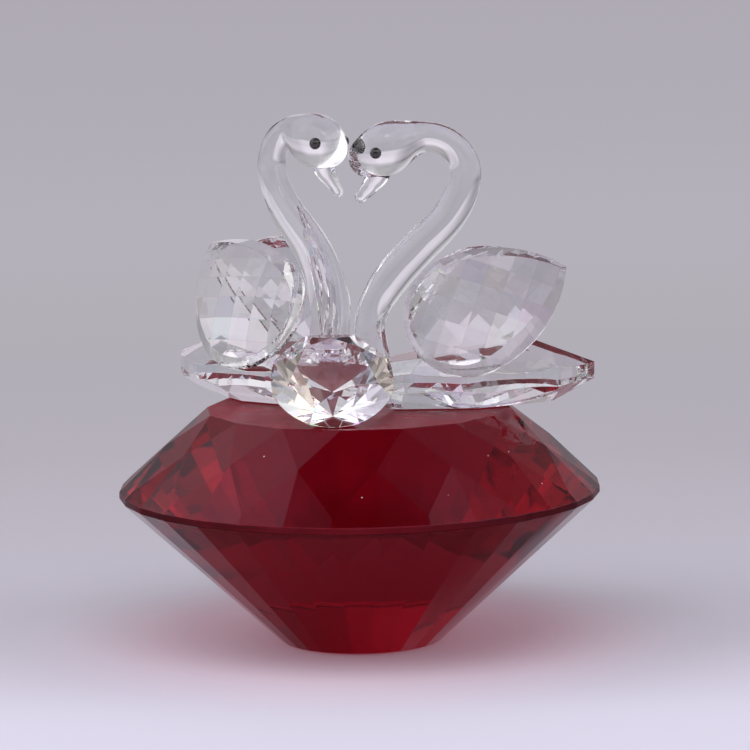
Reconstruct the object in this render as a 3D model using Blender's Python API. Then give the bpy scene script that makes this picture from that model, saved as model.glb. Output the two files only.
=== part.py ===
"""Two glass swans on a cut red glass block.

Units are metres, Z points up, the block's foot stands on Z = 0 and the front of the object faces -Y.
Every cut stone is made the way a stone is cut: a plain blank is sliced by one flat plane per facet.
"""
import bpy
import bmesh
from math import atan2, cos, radians, sin, sqrt, tau
from mathutils import Matrix, Vector

MM = 0.001

# Block: a round brilliant, sixteen main facets about the axis.
BLOCK_SIDES = 16
GIRDLE_RADIUS = 40.0 * MM
TABLE_RADIUS = 25.3 * MM
FOOT_RADIUS = 13.6 * MM
GIRDLE_LOW_Z = 24.75 * MM
GIRDLE_HIGH_Z = 25.8 * MM
TABLE_Z = 38.95 * MM
STAR_POINT_SHARE_OUT = 0.46
STAR_POINT_SHARE_DOWN = 0.4144
STAR_POINT_RADIUS = TABLE_RADIUS + (GIRDLE_RADIUS - TABLE_RADIUS) * STAR_POINT_SHARE_OUT
STAR_POINT_Z = TABLE_Z - (TABLE_Z - GIRDLE_HIGH_Z) * STAR_POINT_SHARE_DOWN

# Gap left at every glued joint.
JOINT_GAP = 0.3 * MM
REST_Z = TABLE_Z + JOINT_GAP

# Front brilliant: lies on one pavilion facet with its lowest girdle point toward the front.
GEM_RADIUS = 10.1 * MM
GEM_SIDES = 8
GEM_CROWN_SLOPE = radians(33.0)
GEM_PAVILION_SLOPE = radians(41.0)
GEM_GIRDLE = 0.5 * MM
GEM_CROWN = 3.1 * MM
GEM_TABLE_SHARE = 0.575
GEM_STAR_POINT_SHARE = 0.785
GEM_STAR_POINT_RISE = 0.55
GEM_LOWER_STEEPER = radians(1.2)
GEM_INSET = 0.82 * MM
GEM_AZIMUTH = radians(8.7)
GEM_FACING = radians(20.0)

# Swans: both follow one plan, mirrored across X = 0. Distances along a swan run from its breast to its tail.
SWAN_HEADING = radians(121.0)
BREAST_X = 0.3 * MM
BREAST_Y = -6.6 * MM

# Body: a boat-shaped stone with pointed ends, a straight girdle wall, and a flat keel on the block's table.
BODY_LENGTH = 42.4 * MM
BODY_WIDTH = 18.6 * MM
BODY_GIRDLE_LOW_Z = 42.9 * MM
BODY_GIRDLE_HIGH_Z = 45.3 * MM
BODY_TOP_Z = 50.6 * MM
BODY_OUTLINE_STEPS = 14
BODY_CROWN = ((50.0, 32.0), (76.0, 41.0), (104.0, 41.0), (128.0, 34.0))
BODY_PAVILION = ((50.0, 37.0), (76.0, 33.0), (104.0, 33.0), (130.0, 37.0))
NECK_SEAT_SLOPE = radians(9.0)
NECK_SEAT_LIFT = 0.9 * MM

# Wing: a pear-shaped stone with a flat back and a domed front cut in squares.
WING_HALF_WIDTH = 10.3 * MM
WING_TIP = 18.3 * MM
WING_GIRDLE = 1.0 * MM
WING_BACK_BEVEL = 0.3 * MM
WING_DOME = 4.9 * MM
WING_DOME_CENTRE = 4.0 * MM
WING_DOME_RADIUS = 34.5 * MM
WING_CELL = 3.7 * MM
WING_RIM_SLOPE = radians(52.0)
WING_OUTLINE_STEPS = 32
WING_CELL_REACH = 8
WING_CENTRE_UP = 10.8 * MM
WING_CENTRE_BACK = 0.3 * MM

# Each wing is set by hand. Its heading, lean over the back, and turn of the tip, in degrees.
WING_ANGLES = {
    "right_outer": (107.0, 22.0, 25.5),
    "right_inner": (107.0, 20.0, 5.0),
    "left_outer": (111.5, 32.0, 41.0),
    "left_inner": (125.0, 13.0, 12.0),
}
# Its foot: along the swan, outward and up.
WING_FOOT = {
    "right_outer": (17.3 * MM, 10.6 * MM, 45.0 * MM),
    "right_inner": (21.2 * MM, 11.3 * MM, 45.0 * MM),
    "left_outer": (16.1 * MM, 10.35 * MM, 45.45 * MM),
    "left_inner": (19.3 * MM, 10.7 * MM, 45.3 * MM),
}

# Necks: (along the swan, height, radius) in millimetres, from the root up and over to the front of the head.
NECK_PATH = {
    "right": (
        (5.0, 46.7, 3.1), (4.1, 50.0, 2.75), (3.9, 53.4, 2.6), (4.7, 56.3, 2.65), (6.9, 59.8, 2.95),
        (9.6, 63.0, 3.05), (13.1, 66.4, 3.0), (15.6, 68.6, 2.95), (17.8, 71.0, 2.85), (19.5, 73.8, 2.75),
        (20.5, 77.0, 2.6), (20.2, 79.7, 2.5), (18.6, 82.0, 2.4), (16.2, 83.5, 2.4), (13.6, 83.9, 2.5),
        (11.4, 83.6, 3.1), (9.2, 83.0, 4.0), (7.0, 82.1, 4.4), (4.8, 81.2, 4.0), (3.1, 80.5, 3.0),
        (1.6, 79.9, 1.5),
    ),
    "left": (
        (4.6, 46.7, 3.3), (3.6, 50.2, 3.3), (3.1, 54.0, 3.35), (3.4, 57.2, 3.3), (4.3, 60.4, 3.25),
        (5.8, 63.3, 3.2), (7.9, 66.0, 3.1), (10.4, 68.4, 3.0), (13.0, 70.8, 2.85), (15.1, 73.2, 2.7),
        (16.7, 75.8, 2.55), (17.4, 79.0, 2.35), (16.7, 81.6, 2.3), (14.9, 83.8, 2.2), (12.6, 84.9, 2.2),
        (10.5, 84.8, 2.9), (8.2, 84.1, 4.0), (5.6, 83.3, 4.5), (3.4, 82.5, 4.0), (1.8, 82.0, 3.0),
        (0.4, 81.5, 1.5),
    ),
}
BEAK_PATH = {
    "right": ((6.4, 80.4, 3.0), (5.4, 77.6, 2.1), (3.8, 75.5, 1.3), (2.4, 74.2, 0.75)),
    "left": ((5.0, 82.0, 3.0), (3.5, 78.5, 2.0), (1.6, 76.4, 1.2), (0.3, 75.0, 0.7)),
}
BEAK_FLATTEN = 0.72
EYE_PLACE = {"right": (4.5, 81.8, 3.6), "left": (2.6, 83.3, 3.05)}
EYE_RADIUS = 0.95 * MM
EYE_SOCKET_RADIUS = EYE_RADIUS + JOINT_GAP
EYE_RINGS = 10
TUBE_SIDES = 20
TUBE_STEPS = 3

SNAP = 1.0e-6
WELD = 3.0e-6
FLAT_ANGLE = radians(0.02)
SEAT_CUTTER = 20.0 * MM


def material(name, colour, roughness, transmission, ior):
    """One plain Principled material."""
    made = bpy.data.materials.new(name)
    made.use_nodes = True
    shader = made.node_tree.nodes["Principled BSDF"]
    shader.inputs["Base Color"].default_value = (*colour, 1.0)
    shader.inputs["Roughness"].default_value = roughness
    shader.inputs["Transmission Weight"].default_value = transmission
    shader.inputs["IOR"].default_value = ior
    made.diffuse_color = (*colour, 1.0)
    return made


def add_object(name, mesh, collection, look=None):
    """Link a mesh into a collection under a plain name."""
    mesh.name = name
    made = bpy.data.objects.new(name, mesh)
    collection.objects.link(made)
    if look:
        mesh.materials.append(look)
    return made


def mesh_from(bm):
    """Turn a bmesh into mesh data with outward faces and exact shared corners."""
    bmesh.ops.remove_doubles(bm, verts=bm.verts, dist=WELD)
    bmesh.ops.dissolve_limit(bm, angle_limit=FLAT_ANGLE, verts=bm.verts, edges=bm.edges)
    bmesh.ops.recalc_face_normals(bm, faces=bm.faces)
    mesh = bpy.data.meshes.new("stone")
    bm.to_mesh(mesh)
    bm.free()
    return mesh


def round_blank(sides, radius, low, high):
    """A straight many-sided blank with one corner on +X."""
    bm = bmesh.new()
    bmesh.ops.create_cone(
        bm, cap_ends=True, segments=sides, radius1=radius, radius2=radius, depth=high - low,
        matrix=Matrix.Translation((0, 0, (low + high) / 2)),
    )
    return bm


def outline_blank(points, low, high):
    """An outline in plan drawn up into a straight blank."""
    bm = bmesh.new()
    face = bm.faces.new([bm.verts.new((x, y, low)) for x, y in points])
    raised = bmesh.ops.extrude_face_region(bm, geom=[face])
    top = [item for item in raised["geom"] if isinstance(item, bmesh.types.BMVert)]
    bmesh.ops.translate(bm, vec=(0, 0, high - low), verts=top)
    bmesh.ops.recalc_face_normals(bm, faces=bm.faces)
    return bm


def slice_off(bm, point, normal):
    """Grind one flat facet: everything on the normal's side of the plane goes."""
    everything = list(bm.verts) + list(bm.edges) + list(bm.faces)
    cut = bmesh.ops.bisect_plane(
        bm, geom=everything, dist=SNAP, plane_co=point, plane_no=normal, clear_outer=True,
    )
    rim = [item for item in cut["geom_cut"] if isinstance(item, bmesh.types.BMEdge)]
    open_rim = [edge for edge in rim if len(edge.link_faces) == 1]
    if open_rim:
        bmesh.ops.holes_fill(bm, edges=open_rim, sides=0)


def facet(bm, azimuth, reach, height, slope, side=1):
    """One facet from its azimuth, the point (reach, height) it passes through, and its slope."""
    outward = Vector((cos(azimuth), sin(azimuth), 0))
    point = outward * reach + Vector((0, 0, height))
    slice_off(bm, point, outward * sin(slope) + Vector((0, 0, side * cos(slope))))


def slope_between(reach_low, z_low, reach_high, z_high):
    """Slope of the plane whose profile joins two (reach, height) points."""
    return atan2(z_high - z_low, reach_low - reach_high)


def cut_block():
    """Round brilliant: table, stars, kites, upper girdle facets, and a pavilion down to a flat foot."""
    fine = 2 * BLOCK_SIDES
    half = tau / BLOCK_SIDES / 2
    quarter = half / 2
    bm = round_blank(fine, GIRDLE_RADIUS, 0, TABLE_Z)
    wall = GIRDLE_RADIUS * cos(quarter)
    star_reach = TABLE_RADIUS * cos(half)
    star = slope_between(STAR_POINT_RADIUS, STAR_POINT_Z, star_reach, TABLE_Z)
    kite = slope_between(STAR_POINT_RADIUS * cos(half), STAR_POINT_Z, TABLE_RADIUS, TABLE_Z)
    upper = slope_between(wall, GIRDLE_HIGH_Z, STAR_POINT_RADIUS * cos(quarter), STAR_POINT_Z)
    lower = slope_between(wall, GIRDLE_LOW_Z, FOOT_RADIUS * cos(quarter), 0)
    for step in range(fine):
        between = tau * (step + 0.5) / fine
        facet(bm, between, wall, GIRDLE_LOW_Z, -lower, -1)
        facet(bm, between, wall, GIRDLE_HIGH_Z, upper)
    for step in range(BLOCK_SIDES):
        turn = tau * step / BLOCK_SIDES
        facet(bm, turn + half, TABLE_RADIUS, TABLE_Z, kite)
        facet(bm, turn, star_reach, TABLE_Z, star)
    return mesh_from(bm)


def cut_gem():
    """Small round brilliant about its own axis, girdle centre at the origin, one pavilion main along -X."""
    fine = 2 * GEM_SIDES
    half = tau / GEM_SIDES / 2
    quarter = half / 2
    depth = GEM_RADIUS * sin(GEM_PAVILION_SLOPE) / cos(GEM_PAVILION_SLOPE)
    bm = round_blank(2 * fine, GEM_RADIUS, -depth - GEM_GIRDLE, GEM_GIRDLE / 2 + GEM_CROWN)
    wall = GEM_RADIUS * cos(quarter / 2)
    low = -GEM_GIRDLE / 2
    high = GEM_GIRDLE / 2
    star_point = Vector((GEM_RADIUS * GEM_STAR_POINT_SHARE, high + GEM_CROWN * GEM_STAR_POINT_RISE))
    table = GEM_RADIUS * GEM_TABLE_SHARE
    kite = slope_between(star_point.x * cos(half), star_point.y, table, high + GEM_CROWN)
    star = slope_between(star_point.x, star_point.y, table * cos(half), high + GEM_CROWN)
    upper = slope_between(wall, high, star_point.x * cos(quarter), star_point.y)
    for step in range(fine):
        between = tau * (step + 0.5) / fine
        facet(bm, between, wall, high, max(upper, GEM_CROWN_SLOPE))
        facet(bm, between, wall, low, GEM_PAVILION_SLOPE + GEM_LOWER_STEEPER, -1)
    for step in range(GEM_SIDES):
        turn = tau * step / GEM_SIDES
        facet(bm, turn, table, high + GEM_CROWN, kite)
        facet(bm, turn + half, table * cos(half), high + GEM_CROWN, star)
        facet(bm, turn, GEM_RADIUS, low, GEM_PAVILION_SLOPE, -1)
    return mesh_from(bm)


def boat_outline():
    """Two equal arcs meeting in a point at each end, breast at the origin, tail along +X."""
    half_length = BODY_LENGTH / 2
    half_width = BODY_WIDTH / 2
    radius = (half_length**2 + half_width**2) / (2 * half_width)
    reach = atan2(half_length, radius - half_width)
    side = []
    for step in range(BODY_OUTLINE_STEPS + 1):
        angle = -reach + 2 * reach * step / BODY_OUTLINE_STEPS
        side.append((half_length + radius * sin(angle), radius * cos(angle) - radius + half_width))
    return side + [(x, -y) for x, y in reversed(side[1:-1])]


def outline_reach(outline, azimuth):
    """How far an outline extends toward an azimuth."""
    return max(x * cos(azimuth) + y * sin(azimuth) for x, y in outline)


def cut_body():
    """Boat-shaped stone: facets above and below a straight girdle wall, flat keel, seat for the neck."""
    outline = boat_outline()[::-1]
    bm = outline_blank(outline, REST_Z, BODY_TOP_Z)
    for rows, height, side in ((BODY_CROWN, BODY_GIRDLE_HIGH_Z, 1), (BODY_PAVILION, BODY_GIRDLE_LOW_Z, -1)):
        for degrees, slope in rows:
            for azimuth in (radians(degrees), -radians(degrees)):
                facet(bm, azimuth, outline_reach(outline, azimuth), height, radians(slope), side)
    seat_normal = Vector((-sin(NECK_SEAT_SLOPE), 0, cos(NECK_SEAT_SLOPE)))
    slice_off(bm, Vector((0, 0, BODY_GIRDLE_HIGH_Z + NECK_SEAT_LIFT)), seat_normal)
    return mesh_from(bm)


def pear_outline():
    """A half circle about the origin and two arcs that meet in a tip on +X."""
    width = WING_HALF_WIDTH
    radius = (WING_TIP**2 + width**2) / (2 * width)
    reach = atan2(WING_TIP, radius - width)
    steps = WING_OUTLINE_STEPS // 4
    upper = []
    for step in range(steps * 2):
        angle = tau / 2 - tau / 4 * step / (steps * 2)
        upper.append((width * cos(angle), width * sin(angle)))
    for step in range(steps + 1):
        angle = reach * step / steps
        upper.append((radius * sin(angle), radius * cos(angle) - radius + width))
    return upper[::-1] + [(x, -y) for x, y in upper[1:-1]]


def cut_wing():
    """Pear stone on its flat back: squares are planes touching a shallow dome, then a sloping rim."""
    outline = pear_outline()
    bm = outline_blank(outline, 0, WING_DOME)
    cells = range(-WING_CELL_REACH, WING_CELL_REACH + 1)
    across = WING_HALF_WIDTH + WING_CELL / 4
    for row in cells:
        for column in cells:
            out_x = (row + column) * WING_CELL / sqrt(2)
            y = (row - column) * WING_CELL / sqrt(2)
            x = WING_DOME_CENTRE + out_x
            if -across < x < WING_TIP and abs(y) < across:
                normal = Vector((out_x / WING_DOME_RADIUS, y / WING_DOME_RADIUS, 1)).normalized()
                height = WING_DOME - (out_x**2 + y**2) / (2 * WING_DOME_RADIUS)
                slice_off(bm, Vector((x, y, height)), normal)
    count = len(outline)
    for index in range(count):
        ax, ay = outline[index]
        bx, by = outline[(index + 1) % count]
        azimuth = atan2(-(bx - ax), by - ay)
        middle = Vector(((ax + bx) / 2, (ay + by) / 2, 0))
        outward = Vector((cos(azimuth), sin(azimuth), 0))
        if outward.dot(middle) < 0:
            outward = -outward
        rim = outward * sin(WING_RIM_SLOPE) + Vector((0, 0, cos(WING_RIM_SLOPE)))
        slice_off(bm, middle + Vector((0, 0, WING_GIRDLE + WING_BACK_BEVEL)), rim)
        back = (outward - Vector((0, 0, 1))).normalized()
        slice_off(bm, middle + Vector((0, 0, WING_BACK_BEVEL)), back)
    return mesh_from(bm)


def swan_frame(side):
    """Along, outward and breast of one swan: outward is the side turned away from the other swan."""
    flip = 1 if side == "right" else -1
    along = Vector((flip * sin(SWAN_HEADING), -cos(SWAN_HEADING), 0))
    outward = Vector((flip * -cos(SWAN_HEADING), -sin(SWAN_HEADING), 0))
    return along, outward, Vector((flip * BREAST_X, BREAST_Y, 0))


def axes_matrix(x_axis, z_axis, origin):
    """Right-handed placement from two axes and an origin."""
    y_axis = z_axis.cross(x_axis)
    turned = Matrix((x_axis, y_axis, z_axis)).transposed().to_4x4()
    return Matrix.Translation(origin) @ turned


def tube(name, stations, collection, flatten=1.0):
    """A bevelled curve through the stations, a radius at each, made a closed mesh in the XZ plane."""
    curve = bpy.data.curves.new(name, "CURVE")
    curve.dimensions = "3D"
    curve.bevel_depth = 1.0
    curve.bevel_resolution = TUBE_SIDES // 4 - 1
    curve.resolution_u = TUBE_STEPS
    curve.use_fill_caps = True
    spline = curve.splines.new("BEZIER")
    spline.bezier_points.add(len(stations) - 1)
    for point, (along, height, radius) in zip(spline.bezier_points, stations):
        point.co = (along * MM, 0, height * MM)
        point.radius = radius * MM
        point.handle_left_type = "AUTO"
        point.handle_right_type = "AUTO"
    guide = bpy.data.objects.new(name + " guide", curve)
    collection.objects.link(guide)
    bpy.context.view_layer.update()
    mesh = bpy.data.meshes.new_from_object(guide.evaluated_get(bpy.context.evaluated_depsgraph_get()))
    bpy.data.objects.remove(guide, do_unlink=True)
    bm = bmesh.new()
    bm.from_mesh(mesh)
    bmesh.ops.scale(bm, vec=(1, flatten, 1), verts=bm.verts)
    bmesh.ops.remove_doubles(bm, verts=bm.verts, dist=WELD)
    bmesh.ops.recalc_face_normals(bm, faces=bm.faces)
    bm.to_mesh(mesh)
    bm.free()
    return mesh


def ball(radius, rings):
    """A plain ball."""
    bm = bmesh.new()
    bmesh.ops.create_uvsphere(bm, u_segments=rings * 2, v_segments=rings, radius=radius)
    mesh = bpy.data.meshes.new("ball")
    bm.to_mesh(mesh)
    bm.free()
    return mesh


def boolean(target, other, operation):
    """An exact Boolean that renders as it previews."""
    made = target.modifiers.new(operation.lower(), "BOOLEAN")
    made.operation = operation
    made.object = other
    made.solver = "EXACT"


def wing_matrix(side, label):
    """Placement of a wing stone: foot on the body's girdle, leaning over the back, tip up and rearward."""
    flip = 1 if side == "right" else -1
    along, outward, breast = swan_frame(side)
    hand = 1 if label == "outer" else -1
    heading, lean, turn = (radians(angle) for angle in WING_ANGLES[side + "_" + label])
    heading = SWAN_HEADING + (heading - SWAN_HEADING) * hand
    foot_along, foot_out, foot_z = WING_FOOT[side + "_" + label]
    back = Vector((flip * sin(heading), -cos(heading), 0))
    out = Vector((flip * -cos(heading), -sin(heading), 0)) * hand
    leaning_up = Vector((0, 0, cos(lean))) - out * sin(lean)
    front_normal = out * cos(lean) + Vector((0, 0, sin(lean)))
    foot = breast + along * foot_along + outward * hand * foot_out
    foot.z = foot_z
    centre = foot + back * WING_CENTRE_BACK + leaning_up * WING_CENTRE_UP
    tip = back * cos(turn) + leaning_up * sin(turn)
    return axes_matrix(tip, front_normal, centre - front_normal * (WING_GIRDLE / 2 + WING_BACK_BEVEL))


def build_block(home):
    look = material("red glass", (0.30, 0.004, 0.01), 0.0, 1.0, 1.52)
    return add_object("red_block", cut_block(), home, look)


def build_gem(home):
    look = material("clear brilliant glass", (0.97, 0.98, 0.99), 0.0, 1.0, 1.56)
    gem = add_object("front_brilliant", cut_gem(), home, look)
    facing = Vector((sin(GEM_FACING), -cos(GEM_FACING), 0))
    axis = facing * sin(GEM_PAVILION_SLOPE) + Vector((0, 0, cos(GEM_PAVILION_SLOPE)))
    across = facing * cos(GEM_PAVILION_SLOPE) - Vector((0, 0, sin(GEM_PAVILION_SLOPE)))
    reach = TABLE_RADIUS - GEM_INSET
    low_point = Vector((reach * sin(GEM_AZIMUTH), -reach * cos(GEM_AZIMUTH), REST_Z))
    centre = low_point - across * GEM_RADIUS + axis * GEM_GIRDLE / 2
    gem.matrix_world = axes_matrix(across, axis, centre)
    return gem


def build_swan(side, home, helpers):
    """One swan: body, two wings, a neck with head and beak in one piece, and two eyes."""
    along, outward, breast = swan_frame(side)
    clear = material(side + " body glass", (0.96, 0.98, 0.98), 0.0, 1.0, 1.52)
    upright = Matrix((along, Vector((0, 0, 1)).cross(along), Vector((0, 0, 1)))).transposed().to_4x4()
    place = Matrix.Translation(breast) @ upright
    body = add_object(side + "_body", cut_body(), home, clear)
    body.matrix_world = place
    for label in ("outer", "inner"):
        look = material(side + " " + label + " wing glass", (0.96, 0.98, 0.98), 0.0, 1.0, 1.52)
        wing = add_object(side + "_" + label + "_wing", cut_wing(), home, look)
        wing.matrix_world = wing_matrix(side, label)
    look = material(side + " neck glass", (0.96, 0.98, 0.98), 0.0, 1.0, 1.5)
    neck = add_object(side + "_neck", tube(side + " neck", NECK_PATH[side], helpers), home, look)
    neck.matrix_world = place
    beak_mesh = tube(side + " beak", BEAK_PATH[side], helpers, BEAK_FLATTEN)
    beak = add_object(side + " beak blank", beak_mesh, helpers)
    beak.matrix_world = place
    boolean(neck, beak, "UNION")
    seat = bmesh.new()
    bmesh.ops.create_cube(seat, size=SEAT_CUTTER)
    seat_mesh = bpy.data.meshes.new("seat")
    seat.to_mesh(seat_mesh)
    seat.free()
    seat_block = add_object(side + " neck seat cutter", seat_mesh, helpers)
    seat_turn = Matrix.Rotation(-NECK_SEAT_SLOPE, 4, "Y")
    seat_top = BODY_GIRDLE_HIGH_Z + NECK_SEAT_LIFT + JOINT_GAP / cos(NECK_SEAT_SLOPE)
    sunk = Matrix.Translation((0, 0, -SEAT_CUTTER / 2))
    seat_block.matrix_world = place @ Matrix.Translation((0, 0, seat_top)) @ seat_turn @ sunk
    boolean(neck, seat_block, "DIFFERENCE")
    eye_along, eye_z, eye_out = EYE_PLACE[side]
    eye_look = material(side + " eye glass", (0.01, 0.01, 0.012), 0.05, 0.0, 1.5)
    for hand, label in ((1, "outer"), (-1, "inner")):
        spot = breast + along * eye_along * MM + outward * hand * eye_out * MM + Vector((0, 0, eye_z * MM))
        socket = add_object(side + " " + label + " eye socket", ball(EYE_SOCKET_RADIUS, EYE_RINGS), helpers)
        socket.location = spot
        boolean(neck, socket, "DIFFERENCE")
        eye = add_object(side + "_" + label + "_eye", ball(EYE_RADIUS, EYE_RINGS), home, eye_look)
        eye.location = spot


def main():
    for old in list(bpy.data.objects):
        bpy.data.objects.remove(old, do_unlink=True)
    home = bpy.data.collections.new("swan figurine")
    helpers = bpy.data.collections.new("cutters")
    for collection in (home, helpers):
        bpy.context.scene.collection.children.link(collection)
    build_block(home)
    build_gem(home)
    for side in ("right", "left"):
        build_swan(side, home, helpers)
    for helper in helpers.objects:
        helper.hide_render = True
        helper.display_type = "WIRE"


main()
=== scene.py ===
# %% [markdown]
# Two glass swans on a cut red glass block.
#
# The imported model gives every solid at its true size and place, in metres. This file dresses it: polished
# glass that bends light, deep red glass that swallows green and blue on the way through, black glass eyes,
# and a plain studio around it. The stones keep their cut form. The necks are drawn again, smooth and round,
# because flame-worked glass has no facets.

# %% Load the fixed model
from math import cos, radians, sin

import bmesh
import bpy
import numpy as np
from mathutils import Matrix, Vector


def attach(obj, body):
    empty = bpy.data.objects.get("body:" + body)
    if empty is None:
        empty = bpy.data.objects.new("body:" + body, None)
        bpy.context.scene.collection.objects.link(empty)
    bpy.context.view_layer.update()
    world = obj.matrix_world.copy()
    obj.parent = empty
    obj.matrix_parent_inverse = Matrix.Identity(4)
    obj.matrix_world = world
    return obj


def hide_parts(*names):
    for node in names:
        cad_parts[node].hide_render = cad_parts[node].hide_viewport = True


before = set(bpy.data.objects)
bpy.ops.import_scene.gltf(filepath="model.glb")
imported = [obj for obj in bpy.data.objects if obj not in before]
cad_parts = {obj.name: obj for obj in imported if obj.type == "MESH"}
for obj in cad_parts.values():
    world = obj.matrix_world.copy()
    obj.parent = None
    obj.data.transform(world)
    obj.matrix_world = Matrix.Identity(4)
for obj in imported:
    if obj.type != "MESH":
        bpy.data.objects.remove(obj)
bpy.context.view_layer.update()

MM = 0.001

# %% [markdown]
# The camera comes first, because every other choice is judged through it. A long lens from about 0.6 m away,
# slightly above the table top and a little to the right of the front, gives nearly parallel edges. Its place
# and its own right and up directions were fitted to the corners of the block's facets.

# %% Camera
CAMERA_PLACE = Vector((0.17838, -0.55962, 0.12707))
CAMERA_RIGHT = Vector((0.954776, 0.296914, -0.015656))
CAMERA_UP = Vector((-0.026670, 0.137967, 0.990078))
LENS = 171.5

lens = bpy.data.cameras.new("studio camera")
lens.lens = LENS
lens.sensor_width = 36.0
lens.sensor_fit = "HORIZONTAL"
lens.clip_start = 0.01
camera = bpy.data.objects.new("studio camera", lens)
bpy.context.scene.collection.objects.link(camera)
backward = CAMERA_RIGHT.cross(CAMERA_UP).normalized()
turned = Matrix((CAMERA_RIGHT, CAMERA_UP, backward)).transposed().to_4x4()
camera.matrix_world = Matrix.Translation(CAMERA_PLACE) @ turned
bpy.context.scene.camera = camera
print("camera looks along", [round(-v, 3) for v in backward])

# %% [markdown]
# A studio for glass is mostly what the glass can see: a pale sweep that runs from the floor up behind the
# object, and soft panels round it. Places in the studio are given from the camera: right, toward, up.

# %% Studio directions
TOWARD = Vector((CAMERA_PLACE.x, CAMERA_PLACE.y, 0)).normalized()
RIGHT = Vector((-TOWARD.y, TOWARD.x, 0))


def studio_point(right, toward, up):
    """A place in the studio from its distances to the right, toward the camera, and up."""
    return RIGHT * right + TOWARD * toward + Vector((0, 0, up))


print("toward the camera:", [round(v, 3) for v in TOWARD], "right:", [round(v, 3) for v in RIGHT])

# %% [markdown]
# A photographer lays a roll of paper from the table up a wall, so that no edge shows behind the object. Here
# it is one surface of two parameters: how far it runs sideways, and how far along a profile that is flat,
# then a quarter circle, then a wall. It lies a hair below the object's foot.

# %% The paper sweep
SWEEP_HALF_WIDTH = 3.0
SWEEP_FRONT = 1.4
SWEEP_BACK = 1.6
SWEEP_RADIUS = 0.6
SWEEP_TOP = 0.75
FLOOR_DROP = 0.0002


def grid_mesh(name, points):
    """A mesh from an array of points (rows, columns, 3): neighbours in the grid are joined by quads."""
    rows, columns = points.shape[:2]
    index = np.arange(rows * columns).reshape(rows, columns)
    quads = np.stack([index[:-1, :-1], index[:-1, 1:], index[1:, 1:], index[1:, :-1]], axis=-1).reshape(-1, 4)
    mesh = bpy.data.meshes.new(name)
    mesh.from_pydata(points.reshape(-1, 3), [], quads)
    mesh.update()
    return mesh


def sweep_profile():
    """Distances back from the object and heights: a floor, a quarter circle of SWEEP_RADIUS, then a wall."""
    bend_start = SWEEP_BACK - SWEEP_RADIUS
    floor = np.column_stack([np.linspace(-SWEEP_FRONT, bend_start, 12), np.zeros(12)])
    angle = np.linspace(0, np.pi / 2, 25)[1:]
    bend = np.column_stack([
        bend_start + SWEEP_RADIUS * np.sin(angle), SWEEP_RADIUS - SWEEP_RADIUS * np.cos(angle)
    ])
    wall = np.array([[SWEEP_BACK, SWEEP_TOP]])
    return np.vstack([floor, bend, wall])


profile = sweep_profile()
side = np.linspace(-SWEEP_HALF_WIDTH, SWEEP_HALF_WIDTH, 3)
right = np.array(RIGHT)
away = -np.array(TOWARD)
sweep_points = (
    side[None, :, None] * right
    + profile[:, None, :1] * away
    + (profile[:, None, 1:] - FLOOR_DROP) * np.array([0.0, 0.0, 1.0])
)
sweep = bpy.data.objects.new("paper sweep", grid_mesh("paper sweep", sweep_points))
bpy.context.scene.collection.objects.link(sweep)
sweep.data.shade_smooth()
print("sweep:", len(sweep.data.polygons), "faces")

# %% [markdown]
# Shader trees are easier to read when each node is made in one line. The first helper makes a node, fills its
# sockets, and links any socket that is given another node's output. Three more name the steps that come back
# all the time: arithmetic, a soft step, and a mix of two shaders.


# %% Helpers for shader nodes
def node(tree, kind, settings=None, **sockets):
    """One node: settings go on the node, sockets are values or outputs to link from. Names use _ for spaces."""
    made = tree.nodes.new("ShaderNode" + kind)
    for key, value in (settings or {}).items():
        setattr(made, key, value)
    for key, value in sockets.items():
        name = key.replace("_", " ")
        socket = made.inputs[int(key[1:])] if key[1:].isdigit() else made.inputs[name]
        if isinstance(value, bpy.types.NodeSocket):
            tree.links.new(value, socket)
        else:
            socket.default_value = value
    return made


def calc(tree, operation, first, second, clamp=False):
    """One step of arithmetic, kept between 0 and 1 if clamp is set."""
    made = node(tree, "Math", {"operation": operation, "use_clamp": clamp}, _0=first, _1=second)
    return made.outputs["Value"]


def soft_step(tree, value, start, stop, low=0.0, high=1.0):
    """low + (high - low) (3 t^2 - 2 t^3), where t runs from 0 to 1 as the value runs from start to stop."""
    made = node(
        tree, "MapRange", {"interpolation_type": "SMOOTHSTEP"}, Value=value, From_Min=start, From_Max=stop,
        To_Min=low, To_Max=high,
    )
    return made.outputs["Result"]


def mix_shaders(tree, share, first, second):
    """The second shader by the given share, and the first for the rest."""
    return node(tree, "MixShader", _0=share, _1=first, _2=second).outputs["Shader"]


def new_material(name):
    """An empty material and its node tree."""
    made = bpy.data.materials.new(name)
    made.use_nodes = True
    made.node_tree.nodes.clear()
    return made, made.node_tree


print("helpers:", [helper.__name__ for helper in (node, calc, soft_step, mix_shaders, new_material)])

# %% [markdown]
# The paper is matt. It is nearly white in front of the object, grey-lilac behind it, and a touch lighter again
# further back. A lamp with such a fall-off would light the glass as well, so the change is put in the paper's
# own colour, as a ramp along the line away from the camera.

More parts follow.
